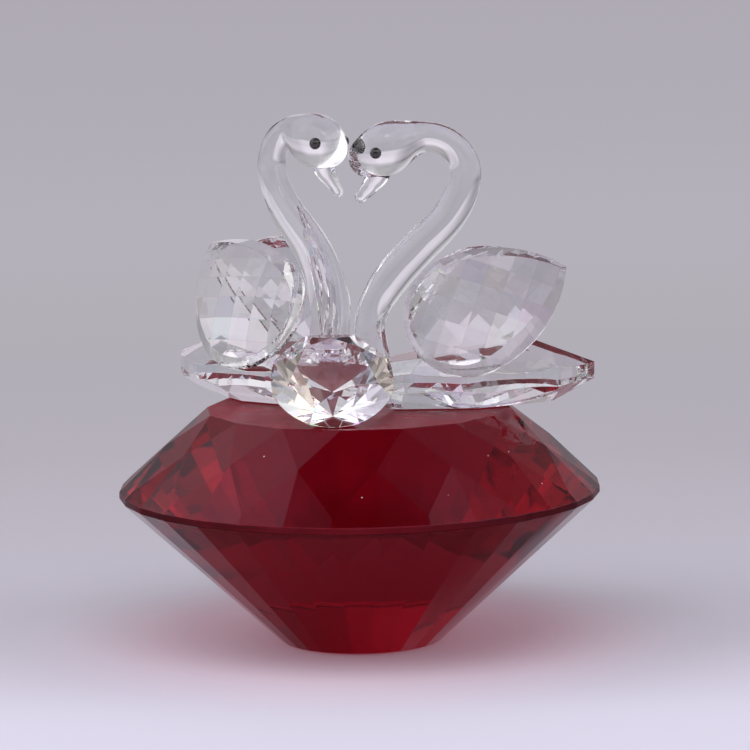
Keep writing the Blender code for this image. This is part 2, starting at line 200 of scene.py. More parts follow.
# %% Paper colour
PAPER_NEAR, PAPER_FAR = -0.2, 1.8
PAPER_STOPS = (
    # metres away from the camera, counted from the object; colour
    (-0.200, (0.660, 0.630, 0.740)),
    (-0.056, (0.640, 0.615, 0.730)),
    (-0.031, (0.580, 0.550, 0.650)),
    (-0.002, (0.520, 0.490, 0.570)),
    (0.030, (0.470, 0.445, 0.515)),
    (0.064, (0.470, 0.445, 0.515)),
    (0.103, (0.450, 0.427, 0.480)),
    (0.190, (0.430, 0.407, 0.455)),
    (0.450, (0.450, 0.430, 0.475)),
    (0.660, (0.462, 0.440, 0.495)),
    (0.980, (0.450, 0.430, 0.480)),
    (1.200, (0.435, 0.410, 0.460)),
    (1.400, (0.415, 0.388, 0.430)),
    (1.800, (0.390, 0.360, 0.400)),
)
paper, tree = new_material("matt paper")
place = node(tree, "TexCoord")
along = node(
    tree, "VectorMath", {"operation": "DOT_PRODUCT"}, _0=place.outputs["Object"], _1=tuple(-TOWARD)
)
share = node(tree, "MapRange", Value=along.outputs["Value"], From_Min=PAPER_NEAR, From_Max=PAPER_FAR)
ramp = node(tree, "ValToRGB", Fac=share.outputs["Result"])
stops = ramp.color_ramp.elements
while len(stops) < len(PAPER_STOPS):
    stops.new(0.5)
for stop, (distance, colour) in zip(stops, PAPER_STOPS):
    stop.position = (distance - PAPER_NEAR) / (PAPER_FAR - PAPER_NEAR)
    stop.color = (*colour, 1.0)
print("paper ramp stops:", len(PAPER_STOPS))

# %% [markdown]
# A very fine bump stands for the fibres. Red light also leaves the block's foot and colours the paper round it.
# The renderer finds that path only by luck, as bright grains, so the red is given to the paper as a faint
# glow of its own that fades out a little beyond the foot.

# %% Paper fibres, and red light round the foot
FIBRES, FIBRE_STRENGTH, FIBRE_HEIGHT = 900.0, 0.05, 0.0002
RED_LIGHT = (0.115, 0.034, 0.050, 1.0)
RED_FULL_TO, RED_GONE_AT = 0.028, 0.060
fibre = node(tree, "TexNoise", Vector=place.outputs["Object"], Scale=FIBRES, Detail=2.0)
bump = node(tree, "Bump", Height=fibre.outputs["Fac"], Strength=FIBRE_STRENGTH, Distance=FIBRE_HEIGHT)
matt = node(
    tree, "BsdfPrincipled", Base_Color=ramp.outputs["Color"], Roughness=0.75, Normal=bump.outputs["Normal"],
    Specular_IOR_Level=0.25,
)
split = node(tree, "SeparateXYZ", Vector=place.outputs["Object"])
flat = node(tree, "CombineXYZ", X=split.outputs["X"], Y=split.outputs["Y"], Z=0.0)
reach = node(tree, "VectorMath", {"operation": "LENGTH"}, _0=flat.outputs["Vector"])
blush = soft_step(tree, reach.outputs["Value"], RED_FULL_TO, RED_GONE_AT, 1.0, 0.0)
red_light = node(tree, "Emission", Color=RED_LIGHT, Strength=blush)
lit_paper = node(tree, "AddShader", _0=matt.outputs["BSDF"], _1=red_light.outputs["Emission"])
print("red light is gone", round(RED_GONE_AT / MM, 1), "mm from the middle")

# %% [markdown]
# Glass shows the paper wherever it mirrors it or bends the view to it, so bright and dark bands up the wall
# draw the shapes inside the stones. Beyond the object the paper glows smoothly instead of being lit. To the
# camera that glow is plain. To the glass it is dimmer near the floor, brightest at middle height, dark at the
# top, and weaker to the left; low in the middle it is stronger. Lamps and flags round a real set do the same.

# %% Paper as the glass sees it
GLOW_FROM, GLOW_FULL = 0.12, 0.45
TO_CAMERA = 0.5
BAND_SCALE = 2.0
WALL_BAND = (
    # height in metres, strength
    (0.0, 0.5), (0.02, 0.5), (0.08, 0.66), (0.20, 0.70),
    (0.34, 0.80), (0.48, 0.80), (0.66, 0.52), (1.0, 0.40),
)
LEFT_END, LEFT_START, LEFT_SHARE = -0.85, -0.25, 0.60
MIDDLE_TO, MIDDLE_GONE, MIDDLE_EXTRA = 0.18, 0.50, 0.32
MIDDLE_LOW, MIDDLE_HIGH = 0.02, 0.07
band = node(tree, "FloatCurve", Value=split.outputs["Z"])
for height, strength in WALL_BAND[1:-1]:
    band.mapping.curves[0].points.new(height, strength)
band.mapping.curves[0].points[0].location = WALL_BAND[0]
band.mapping.curves[0].points[-1].location = WALL_BAND[-1]
band.mapping.update()
sideways = node(
    tree, "VectorMath", {"operation": "DOT_PRODUCT"}, _0=place.outputs["Object"], _1=tuple(RIGHT)
)
left_fade = soft_step(tree, sideways.outputs["Value"], LEFT_END, LEFT_START, LEFT_SHARE, 1.0)
off_centre = node(tree, "Math", {"operation": "ABSOLUTE"}, _0=sideways.outputs["Value"])
middle = soft_step(tree, off_centre.outputs["Value"], MIDDLE_TO, MIDDLE_GONE, MIDDLE_EXTRA, 0.0)
above_floor = soft_step(tree, split.outputs["Z"], MIDDLE_LOW, MIDDLE_HIGH)
middle = node(tree, "Math", {"operation": "MULTIPLY_ADD"}, _0=middle, _1=above_floor, _2=1.0)
to_glass = calc(tree, "MULTIPLY", band.outputs["Value"], left_fade)
to_glass = calc(tree, "MULTIPLY", to_glass, middle.outputs["Value"])
print("wall band points:", len(band.mapping.curves[0].points))

# %% [markdown]
# The kind of ray tells the camera, the glass and the paper's own light apart. Where none of them looks, the
# sheet stays ordinary matt paper, so that it takes shadows and sends light back as paper does.

# %% Putting the paper together
path = node(tree, "LightPath")
seen = calc(tree, "ADD", path.outputs["Is Camera Ray"], path.outputs["Is Glossy Ray"])
seen = calc(tree, "ADD", seen, path.outputs["Is Transmission Ray"], clamp=True)
far = soft_step(tree, reach.outputs["Value"], GLOW_FROM, GLOW_FULL)
glowing = calc(tree, "MULTIPLY", seen, far)
as_seen = node(
    tree, "Mix", {"data_type": "FLOAT"}, _0=path.outputs["Is Camera Ray"], _2=to_glass, _3=TO_CAMERA
)
strength = calc(tree, "MULTIPLY", as_seen.outputs[0], BAND_SCALE)
glow = node(tree, "Emission", Color=ramp.outputs["Color"], Strength=strength)
paper_surface = mix_shaders(tree, glowing, lit_paper.outputs["Shader"], glow.outputs["Emission"])
node(tree, "OutputMaterial", Surface=paper_surface)
sweep.data.materials.append(paper)
print("paper nodes:", len(tree.nodes))

# %% [markdown]
# Clear glass has almost no colour of its own: it is drawn by what it mirrors and bends. What it sees here is a
# room of soft panels, each a disc of even brightness with a soft rim. Lamps with a shape could do this, but
# every one adds grain, and a panel can be moved by one number. They were placed by watching which direction
# each facet looks in. The last four are seen only through the glass, never mirrored by its outside.


# %% Panels of the room
def studio_direction(turn, rise):
    """Unit direction: turn degrees clockwise from straight behind the object, rise degrees above the floor."""
    flat = -TOWARD * cos(radians(turn)) + RIGHT * sin(radians(turn))
    return flat * cos(radians(rise)) + Vector((0, 0, sin(radians(rise))))


PANELS = (
    # turn, rise, even out to, gone at (all in degrees), strength
    (265.0, 36.0, 20.0, 62.0, 0.66),  # left, broad
    (268.0, 43.0, 8.0, 22.0, 0.60),  # its brighter middle
    (125.0, 40.0, 18.0, 44.0, 0.72),  # right and in front, broad
    (118.0, 34.0, 5.0, 14.0, 0.80),  # its brighter middle
    (190.0, 58.0, 12.0, 34.0, 0.75),  # above the camera
    (172.0, 62.0, 4.0, 9.0, 2.20),  # a small bright lamp in it
    (80.0, 5.0, 18.0, 34.0, 0.36),  # low on the right
    (0.0, 88.0, 12.0, 18.0, 0.22),  # overhead
)
BENT_ONLY_PANELS = (
    (0.0, 42.0, 18.0, 50.0, 0.25),  # behind, broad and weak
    (120.0, 27.0, 7.0, 17.0, 0.60),  # in front on the right
    (240.0, 27.0, 7.0, 17.0, 0.72),  # in front on the left
    (178.0, 45.0, 6.0, 18.0, 0.60),  # over the camera
)
world = bpy.data.worlds.new("panel room")
world.use_nodes = True
tree = world.node_tree
tree.nodes.clear()
direction = node(tree, "TexCoord")


def panel_disc(turn, rise, inner, outer, strength):
    """Strength inside a cone around a direction, fading to nothing between the inner and outer angle."""
    facing = node(
        tree, "VectorMath", {"operation": "DOT_PRODUCT"}, _0=direction.outputs["Generated"],
        _1=tuple(studio_direction(turn, rise)),
    )
    return soft_step(tree, facing.outputs["Value"], cos(radians(outer)), cos(radians(inner)), 0.0, strength)


print("panels:", len(PANELS), "and", len(BENT_ONLY_PANELS), "seen only through glass")

# %% [markdown]
# The panels hang in a dim room that is a little lighter toward the horizon. A black flag overhead keeps the
# outside of the top faces from mirroring a bright ceiling, as photographers do with black card.

# %% Room light that the glass sees
ROOM_BASE = 0.20
HORIZON_LOW, HORIZON_HIGH, HORIZON_EXTRA = 0.05, 0.22, 0.22
FLAG_SOLID, FLAG_GONE = 12.0, 22.0
total = ROOM_BASE
for panel in PANELS:
    total = calc(tree, "ADD", panel_disc(*panel), total)
split = node(tree, "SeparateXYZ", Vector=direction.outputs["Generated"])
horizon = node(
    tree, "MapRange", Value=split.outputs["Z"], From_Min=HORIZON_LOW, From_Max=HORIZON_HIGH,
    To_Min=HORIZON_EXTRA, To_Max=0.0,
)
total = calc(tree, "ADD", horizon.outputs["Result"], total)
path = node(tree, "LightPath")
flag = soft_step(tree, split.outputs["Z"], cos(radians(FLAG_GONE)), cos(radians(FLAG_SOLID)))
mirrored = calc(tree, "SUBTRACT", 1.0, path.outputs["Is Transmission Ray"])
flag = calc(tree, "MULTIPLY", flag, mirrored)
total = calc(tree, "MULTIPLY", total, calc(tree, "SUBTRACT", 1.0, flag))
for panel in BENT_ONLY_PANELS:
    bent = calc(tree, "MULTIPLY", panel_disc(*panel), path.outputs["Is Transmission Ray"])
    total = calc(tree, "ADD", total, bent)
print("room nodes:", len(tree.nodes))

# %% [markdown]
# Only glass sees the panels. Paper and other matt things get plain, even light, which leaves no grain, and the
# camera sees a pale grey wherever the sweep ends.

# %% The room by kind of ray
ROOM_COLOUR = (0.98, 0.96, 1.0, 1.0)
EVEN_LIGHT = 0.62
PALE = (0.44, 0.42, 0.465, 1.0)
room = node(tree, "Background", Color=ROOM_COLOUR, Strength=total)
even = node(tree, "Background", Color=ROOM_COLOUR, Strength=EVEN_LIGHT)
pale = node(tree, "Background", Color=PALE, Strength=1.0)
by_glass = calc(tree, "ADD", path.outputs["Is Glossy Ray"], path.outputs["Is Transmission Ray"], clamp=True)
matt_or_camera = mix_shaders(
    tree, path.outputs["Is Camera Ray"], even.outputs["Background"], pale.outputs["Background"]
)
mixed = mix_shaders(tree, by_glass, matt_or_camera, room.outputs["Background"])
node(tree, "OutputWorld", Surface=mixed)
bpy.context.scene.world = world
print("world:", world.name)

# %% [markdown]
# Three soft boxes shape the shadows on the paper. They hang left, right and in front, above the camera. The
# glass neither mirrors nor bends them, because its panels already stand for them.


# %% Lamps
def soft_box(name, place, aim, width, height, watts):
    """A rectangular lamp at a place, facing the aim, that glass neither mirrors nor bends."""
    lamp = bpy.data.lights.new(name, "AREA")
    lamp.shape = "RECTANGLE"
    lamp.size = width
    lamp.size_y = height
    lamp.energy = watts
    made = bpy.data.objects.new(name, lamp)
    bpy.context.scene.collection.objects.link(made)
    made.location = place
    made.rotation_euler = (aim - place).to_track_quat("-Z", "Y").to_euler()
    made.visible_glossy = False
    made.visible_transmission = False
    return made


CENTRE = Vector((0, 0, 0.04))
soft_box("left soft box", studio_point(-1.10, 0.10, 0.80), CENTRE, 1.2, 1.0, 7.0)
soft_box("right soft box", studio_point(1.15, 0.20, 0.60), CENTRE, 0.9, 0.9, 4.0)
soft_box("front soft box", studio_point(-0.05, 0.60, 1.10), CENTRE, 1.1, 0.55, 6.0)
print("lamps:", [lamp.name for lamp in bpy.data.lights])

# %% [markdown]
# Light crosses many faces inside these stones before it leaves, so the renderer follows it further than it
# would by default.

# %% How far light is followed
view = bpy.context.scene.view_settings
view.view_transform = "Standard"
rays = bpy.context.scene.cycles
rays.max_bounces = 24
rays.transmission_bounces = 24
rays.glossy_bounces = 12
rays.transparent_max_bounces = 12
print("bounces:", rays.max_bounces)

# %% [markdown]
# The block, the brilliant, the two boat-shaped bodies and the four pear-shaped wings are ground on a wheel,
# facet by facet. They could be modelled afresh, but the solids already have every facet, so each stone is
# copied from its solid, its loose triangles are joined back into whole flat facets, and the edges get the
# hair-thin bevel that polishing leaves. That bevel draws the bright lines along the edges of real stones.


# %% Cut stones with polished edges
WELD = 0.004 * MM
FLAT = radians(0.3)
SHARP = radians(1.0)


def stone(node_name, edge):
    """A merged copy of a solid with every edge bevelled by the given width. The copy stands for the solid."""
    bm = bmesh.new()
    bm.from_mesh(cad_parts[node_name].data)
    bmesh.ops.remove_doubles(bm, verts=bm.verts, dist=WELD)
    bmesh.ops.dissolve_limit(bm, angle_limit=FLAT, verts=bm.verts, edges=bm.edges)
    edges = [e for e in bm.edges if len(e.link_faces) == 2 and e.calc_face_angle(0) > SHARP]
    bmesh.ops.bevel(
        bm, geom=edges, offset=edge, offset_type="WIDTH", segments=1, profile=0.5, affect="EDGES",
        clamp_overlap=True,
    )
    mesh = bpy.data.meshes.new(node_name + " polished")
    bm.to_mesh(mesh)
    bm.free()
    made = bpy.data.objects.new(node_name + "_stone", mesh)
    bpy.context.scene.collection.objects.link(made)
    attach(made, "root")
    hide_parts(node_name)
    return made


EDGE = 0.06 * MM
BLOCK_EDGE = 0.10 * MM
block = stone("red_block", BLOCK_EDGE)
brilliant = stone("front_brilliant", EDGE)
bodies = [stone(side + "_body", EDGE) for side in ("left", "right")]
wings = [
    stone(side + "_" + place + "_wing", EDGE)
    for side in ("left", "right")
    for place in ("outer", "inner")
]
for made in [block, brilliant, *bodies, *wings]:
    print(made.name, len(made.data.polygons), "faces")

# %% [markdown]
# The stones are joined with clear glue that bends light as glass does, so a glued face is invisible: one
# looks straight through it into the red below. The solids keep a hair of air there. Filling it with another
# piece would add surfaces that touch, so every face on a joint is marked in a face attribute instead, and the
# glass shaders let light pass it unbent. First the faces that stand on the table are found.


# %% Faces that stand on the table
DOWNWARD = -0.985
SLIVER = 2.0 * MM**2


def resting_faces(mesh):
    """Indices of the faces that look down onto the table: the face a piece stands on, and any whose wedge of
    air is thin enough for the glue to fill. The slivers of the bevel are left out."""
    return [p.index for p in mesh.polygons if p.normal.z < DOWNWARD and p.area > SLIVER]


def footprints(piece):
    """The corners, seen from above, of every resting face."""
    mesh = piece.data
    return [
        [(mesh.vertices[v].co.x, mesh.vertices[v].co.y) for v in mesh.polygons[index].vertices]
        for index in resting_faces(mesh)
    ]


table_prints = []
for piece in [brilliant, *bodies]:
    outlines = footprints(piece)
    table_prints += outlines
    print(piece.name, "rests on", len(outlines), "faces")

# %% [markdown]
# The block's table is one large face, so the outlines of the stones on it are cut into it before the parts
# under them can be marked.


# %% Marking the glued faces
def edges_of(outline):
    """The pairs of neighbouring corners round an outline."""
    return zip(outline, outline[1:] + outline[:1])


def inside(outline, x, y):
    """Whether a point lies inside a convex outline: it is on the same side of every edge."""
    sides = [(bx - ax) * (y - ay) - (by - ay) * (x - ax) for (ax, ay), (bx, by) in edges_of(outline)]
    return all(side > 0 for side in sides) or all(side < 0 for side in sides)


def face_values(piece, name, values):
    """Write one number for every face in a named attribute that a shader can read."""
    layer = piece.data.attributes.new(name, "FLOAT", "FACE")
    layer.data.foreach_set("value", np.asarray(values, np.float32))


def mark_glued(piece, faces):
    """Write 1 for glued faces and 0 for the rest."""
    values = np.zeros(len(piece.data.polygons))
    values[faces] = 1.0
    face_values(piece, "glued", values)


def on_level(normal, centre, level):
    """Whether a face lies flat at a height."""
    return normal.z > 0.999 and abs(centre.z - level) < 0.02 * MM


def print_joints(piece, outlines, level):
    """Cut the level face along the outlines' edges, and return the faces inside any outline."""
    bm = bmesh.new()
    bm.from_mesh(piece.data)
    for outline in outlines:
        for (ax, ay), (bx, by) in edges_of(outline):
            top = [f for f in bm.faces if on_level(f.normal, f.calc_center_median(), level)]
            geometry = {item for f in top for item in [f, *f.edges, *f.verts]}
            bmesh.ops.bisect_plane(
                bm, geom=list(geometry), dist=1e-7, plane_co=(ax, ay, 0), plane_no=(by - ay, ax - bx, 0)
            )
    bm.to_mesh(piece.data)
    bm.free()
    return [
        p.index for p in piece.data.polygons
        if on_level(p.normal, p.center, level)
        and any(inside(outline, p.center.x, p.center.y) for outline in outlines)
    ]


table_level = max(v.co.z for v in block.data.vertices)
glued = print_joints(block, table_prints, table_level)
mark_glued(block, glued)
print("glued faces on the table:", len(glued))
for piece in [brilliant, *bodies]:
    mark_glued(piece, resting_faces(piece.data))

# %% [markdown]
# A neck is a glass rod drawn out and bent over a flame, so it is round and has no facets. Its centre line and
# its thickness change together. A smooth curve therefore runs through a few stations that give distance along
# the swan, height and radius all at once.


# %% A smooth line through stations
STEPS_PER_SPAN = 40


def smooth_through(stations, count):
    """Points of a Catmull-Rom curve: each span is the cubic through its two stations whose slopes are half
    the steps between the neighbours. Returned at equal steps of arc length in the first two columns."""
    knots = np.vstack([2 * stations[0] - stations[1], stations, 2 * stations[-1] - stations[-2]])
    spans = len(stations) - 1
    u = np.linspace(0, spans, spans * STEPS_PER_SPAN + 1)
    first = np.minimum(u.astype(int), spans - 1)
    t = (u - first)[:, None]
    p0, p1, p2, p3 = (knots[first + shift] for shift in range(4))
    curve = 0.5 * (
        2 * p1 + (p2 - p0) * t + (2 * p0 - 5 * p1 + 4 * p2 - p3) * t**2 + (3 * p1 - p0 - 3 * p2 + p3) * t**3
    )
    length = np.concatenate([[0], np.cumsum(np.linalg.norm(np.diff(curve[:, :2], axis=0), axis=1))])
    even = np.linspace(0, length[-1], count)
    return np.column_stack([np.interp(even, length, column) for column in curve.T]), even


def soften(values, passes):
    """Neighbour averages, ends held: takes small bumps out of a row of values."""
    values = values.copy()
    for _ in range(passes):
        values[1:-1] = 0.25 * values[:-2] + 0.5 * values[1:-1] + 0.25 * values[2:]
    return values


sample_line, sample_length = smooth_through(np.array([[0.0, 0.0, 1.0], [3.0, 4.0, 2.0]]), 5)
print("a straight span from (0, 0) to (3, 4) is", round(float(sample_length[-1]), 2), "long")

# %% [markdown]
# The rod's surface is a function of two parameters: how far along the centre line, and the angle around it.
# A sweep modifier along a curve would pinch the ends, so the radius is closed on a round dome here: a flame
# always rounds a free end. The stations are softened a little, as hot glass evens out its own bumps.


# %% Drawn glass: a round section carried along a bent line
SOFTENING = 12


def drawn_rod(stations, rings, sides, flatten=1.0, dome=(False, True)):
    """Grid of points (rings, sides, 3) in the swan's own plane: centre line + radius * (cos, sin) in the frame
    of the line's normal and the Y axis. At a domed end the radius is that of a circle: sqrt(r^2 - d^2)."""
    line, length = smooth_through(np.array(stations, float), rings)
    for column in range(3):
        line[:, column] = soften(line[:, column], SOFTENING)
    radius = line[:, 2]
    tangent = np.gradient(line[:, :2], axis=0)
    tangent /= np.linalg.norm(tangent, axis=1)[:, None]
    normal = np.column_stack([-tangent[:, 1], tangent[:, 0]])
    for at_end, wanted in zip((0, 1), dome):
        if wanted:
            from_end = length[-1] - length if at_end else length
            round_end = radius[-1 if at_end else 0]
            into_dome = np.clip(1 - from_end / round_end, 0, 1)
            radius = radius * np.sqrt(np.maximum(1 - into_dome**2, 1e-6))
    angle = np.linspace(0, 2 * np.pi, sides, endpoint=False)
    across = radius[:, None] * np.cos(angle)
    out = radius[:, None] * np.sin(angle) * flatten
    x = line[:, None, 0] + across * normal[:, None, 0]
    z = line[:, None, 1] + across * normal[:, None, 1]
    return np.stack([x, out, z], axis=-1) * MM


def closed_tube(name, points):
    """A grid of rings joined round and closed with a fan at both ends, faces outwards."""
    rings, sides = points.shape[:2]
    index = np.arange(rings * sides).reshape(rings, sides)
    nxt = np.roll(index, -1, axis=1)
    quads = np.stack([index[:-1], nxt[:-1], nxt[1:], index[1:]], axis=-1).reshape(-1, 4)
    ends = points[[0, -1]].mean(axis=1)
    low, high = rings * sides, rings * sides + 1
    fan_low = np.stack([np.full(sides, low), nxt[0], index[0]], axis=-1)
    fan_high = np.stack([np.full(sides, high), index[-1], nxt[-1]], axis=-1)
    mesh = bpy.data.meshes.new(name)
    mesh.from_pydata(
        np.vstack([points.reshape(-1, 3), ends]), [],
        quads.tolist() + fan_low.tolist() + fan_high.tolist(),
    )
    bm = bmesh.new()
    bm.from_mesh(mesh)
    bmesh.ops.recalc_face_normals(bm, faces=bm.faces)
    bm.to_mesh(mesh)
    bm.free()
    return mesh


sample_rod = drawn_rod(((0.0, 0.0, 1.0), (0.0, 5.0, 1.0), (0.0, 10.0, 1.0)), 20, 8)
print("a sample rod has a grid of", sample_rod.shape, "and ends at", np.round(sample_rod[-1, 0] / MM, 2), "mm")

# %% [markdown]
# Each swan lives in its own upright plane, turned out from the middle so that the two beaks meet in front.
# The two necks were bent by hand and differ a little, so each has its own stations: from the breast up
# through the half heart, over the top, down into the head, and a second short rod for the beak.

# %% Swan plans and neck stations
SWAN_HEADING = radians(121.0)
BREAST = Vector((0.3 * MM, -6.6 * MM, 0))
NECK_STATIONS = {
    "right": (
        (5.0, 44.0, 3.1), (4.1, 50.0, 2.75), (3.9, 53.4, 2.6), (4.7, 56.3, 2.65), (6.9, 59.8, 2.95),
        (9.6, 63.0, 3.05), (13.1, 66.4, 3.0), (15.6, 68.6, 2.95), (17.8, 71.0, 2.85), (19.5, 73.8, 2.75),
        (20.5, 77.0, 2.6), (20.2, 79.7, 2.5), (18.6, 82.0, 2.4), (16.2, 83.5, 2.4), (13.6, 83.9, 2.5),
        (11.4, 83.6, 3.1), (9.2, 83.0, 4.0), (7.0, 82.1, 4.4), (4.8, 81.2, 4.0), (3.1, 80.5, 3.3),
        (1.0, 79.7, 3.0),
    ),
    "left": (
        (4.6, 44.0, 3.3), (3.6, 50.2, 3.3), (3.1, 54.0, 3.35), (3.4, 57.2, 3.3), (4.3, 60.4, 3.25),
        (5.8, 63.3, 3.2), (7.9, 66.0, 3.1), (10.4, 68.4, 3.0), (13.0, 70.8, 2.85), (15.1, 73.2, 2.7),
        (16.7, 75.8, 2.55), (17.4, 79.0, 2.35), (16.7, 81.6, 2.3), (14.9, 83.8, 2.2), (12.6, 84.9, 2.2),
        (10.5, 84.8, 2.9), (8.2, 84.1, 4.0), (5.6, 83.3, 4.5), (3.4, 82.5, 4.0), (1.8, 82.0, 3.3),
        (-0.1, 81.4, 3.0),
    ),
}
BEAK_STATIONS = {
    "right": ((6.6, 81.4, 2.4), (6.0, 79.4, 2.4), (5.4, 77.6, 1.9), (4.5, 76.4, 1.45), (3.8, 75.5, 1.25),
              (2.9, 74.6, 1.0), (2.0, 73.8, 1.05)),
    "left": ((5.0, 82.0, 2.4), (4.2, 80.0, 2.3), (3.5, 78.5, 1.9), (2.4, 77.2, 1.4), (1.6, 76.4, 1.15),
             (0.7, 75.5, 0.9), (-0.1, 74.7, 1.0)),
}
SEAT_SLOPE = radians(9.0)
SEAT_HEIGHT = (45.3 + 0.9 + 0.3 / cos(SEAT_SLOPE)) * MM


def swan_matrix(side):
    """Placement of a swan's own plane: X runs from breast to tail, Z is up."""
    flip = 1 if side == "right" else -1
    along = Vector((flip * sin(SWAN_HEADING), -cos(SWAN_HEADING), 0))
    up = Vector((0, 0, 1))
    turned = Matrix((along, up.cross(along), up)).transposed().to_4x4()
    return Matrix.Translation(Vector((flip * BREAST.x, BREAST.y, 0))) @ turned


print("stations:", {side: len(rows) for side, rows in NECK_STATIONS.items()})

# %% [markdown]
# Neck, head and beak are one piece of glass on the real swan: the beak is pulled out of the soft head with
# tweezers. Here a rod with a swelling for the head and a flattened rod for the beak are joined by an exact
# union, so no inner wall is left that would bend light. The foot of the neck is cut flat at the slope of the
# body's top, where it is glued.


# %% Necks, heads and beaks
NECK_RINGS, NECK_SIDES = 260, 48
BEAK_RINGS, BEAK_SIDES = 90, 40
BEAK_FLATTEN = 0.8


def make_neck(side):
    """Rod with a swelling for the head, joined by an exact union to the beak, and cut flat at the seat."""
    rod = closed_tube(side + " neck", drawn_rod(NECK_STATIONS[side], NECK_RINGS, NECK_SIDES))
    bm = bmesh.new()
    bm.from_mesh(rod)
    seat = bmesh.ops.bisect_plane(
        bm, geom=list(bm.verts) + list(bm.edges) + list(bm.faces), plane_co=(0, 0, SEAT_HEIGHT),
        plane_no=(sin(SEAT_SLOPE), 0, -cos(SEAT_SLOPE)), clear_outer=True,
    )
    rim = [item for item in seat["geom_cut"] if isinstance(item, bmesh.types.BMEdge)]
    bmesh.ops.holes_fill(bm, edges=rim, sides=0)
    bmesh.ops.recalc_face_normals(bm, faces=bm.faces)
    bm.to_mesh(rod)
    bm.free()
    made = bpy.data.objects.new(side + "_drawn_neck", rod)
    beak_points = drawn_rod(BEAK_STATIONS[side], BEAK_RINGS, BEAK_SIDES, BEAK_FLATTEN, (True, True))
    beak = bpy.data.objects.new(side + " beak blank", closed_tube(side + " beak", beak_points))
    for piece in (made, beak):
        bpy.context.scene.collection.objects.link(piece)
    union = made.modifiers.new("union", "BOOLEAN")
    union.object = beak
    union.solver = "EXACT"
    union.operation = "UNION"
    bpy.context.view_layer.update()
    joined = bpy.data.meshes.new_from_object(made.evaluated_get(bpy.context.evaluated_depsgraph_get()))
    made.modifiers.clear()
    made.data = joined
    bpy.data.objects.remove(beak, do_unlink=True)
    joined.transform(swan_matrix(side))
    joined.shade_smooth()
    joined.set_sharp_from_angle(angle=radians(40.0))
    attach(made, "root")
    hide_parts(side + "_neck")
    return made


necks = [make_neck(side) for side in ("right", "left")]
for made in necks:
    top = max(v.co.z for v in made.data.vertices) / MM
    print(made.name, len(made.data.polygons), "faces, top at", round(top, 2), "mm")

# %% [markdown]
# No two facets are alike: each is ground by hand against the wheel, so each mirrors a slightly different part
# of the room and looks a shade lighter or darker than the next; that shade is painted reflection, put into each
# face's colour. Cut glass also splits white light into hues, seen in a few facets and along the fine edges;
# these hues are painted fire. A pattern in space would run across the edges, so each face carries its own
# painted colour in a face attribute, drawn by chance.
# The few facets whose colour stands out in the photo are then given it by the direction they look in.


# %% Painted light for every face
THIN_FACE = 0.4 * MM**2
THIRDS = np.array([0, 2, 4]) * np.pi / 3
FACET_SHARE = 0.3


def face_normals(piece):
    """Normals of all faces as rows."""
    normals = np.empty(len(piece.data.polygons) * 3)
    piece.data.polygons.foreach_get("normal", normals)
    return normals.reshape(-1, 3)


def face_areas(piece):
    """Areas of all faces."""
    areas = np.empty(len(piece.data.polygons))
    piece.data.polygons.foreach_get("area", areas)
    return areas


def paint_facet_light(piece, seed, spread, rainbow=0.0, fire=0.0):
    """Painted light for every face: a painted reflection shade, grey 1 - spread * random, with a third of that
    spread in each channel. Two kinds of face get painted fire, hues that stand for split white light: the
    hair-thin ones along the edges, and a few facets picked by chance (the fire share). Theirs are hues,
    1 - rainbow * (0.5 - 0.5 cos(turn + channel / 3)), weaker on facets."""
    count = len(piece.data.polygons)
    random = np.random.default_rng(seed)
    colours = 1.0 - random.random((count, 1)) * spread - random.random((count, 3)) * spread / 3
    turn = random.random((count, 1)) * 2 * np.pi + THIRDS
    picked = random.random((count, 1)) < fire
    thin = (face_areas(piece) < THIN_FACE)[:, None]
    strength = np.where(thin, rainbow, np.where(picked, FACET_SHARE * rainbow, 0.0))
    colours = colours * (1 - strength * (0.5 - 0.5 * np.cos(turn)))
    layer = piece.data.attributes.new("facet_painted_light", "FLOAT_COLOR", "FACE")
    layer.data.foreach_set("color", np.column_stack([colours, np.ones(count)]).astype(np.float32).ravel())


def paint_facet_glints_and_shade(piece, spots):
    """Paint a glint or painted shade on chosen facets: each spot names the direction a facet looks in, and a
    colour.
    """
    normals = face_normals(piece) * (face_areas(piece) > THIN_FACE)[:, None]
    layer = piece.data.attributes["facet_painted_light"]
    for direction, colour in spots:
        layer.data[int(np.argmax(normals @ np.array(direction)))].color = (*colour, 1.0)


paint_facet_light(brilliant, 3, 0.10, 0.7, 0.08)
# Painted glints and painted shade: the blue, lilac and amber facets are painted glints of colour, the greys are
# painted shade.
paint_facet_glints_and_shade(brilliant, (
    ((0.255, -0.166, 0.953), (0.10, 0.75, 1.00)),  # a spark of blue
    ((-0.408, -0.278, 0.870), (0.88, 0.82, 1.00)),  # lilac
    ((0.801, -0.222, 0.556), (1.00, 0.78, 0.55)),  # amber
    ((0.565, -0.261, 0.783), (0.45, 0.47, 0.53)),  # greys on the right
    ((0.659, -0.520, 0.543), (0.38, 0.40, 0.46)),
    ((-0.471, -0.685, 0.556), (0.58, 0.60, 0.66)),  # grey on the left
))
for number, made in enumerate([*bodies, *wings]):
    paint_facet_light(made, 11 + number, 0.16, 0.5, 0.05)
paint_facet_light(block, 2, 0.03)
for made in necks:
    paint_facet_light(made, 5, 0.0)
print("tinted:", [made.name for made in [brilliant, *bodies, *wings, block, *necks]])

# %% [markdown]
# The red block isn't polished all over. Its table is scuffed by handling, its girdle is left finely ground, and
# its underside mirrors the room only faintly. Fingers leave a thin film on its table and girdle, and on the
# table of the brilliant. A material for each kind of face would repeat the same glass; four numbers on every
# face reach one shader instead: how rough it is, how much of its mirror image is dulled seen square on and
# seen at a glance, and how much film lies on it.

# %% Grinding, dulling and film
GEM_TABLE = 60 * MM**2
face_values(brilliant, "film", (face_areas(brilliant) > GEM_TABLE) * 0.08)

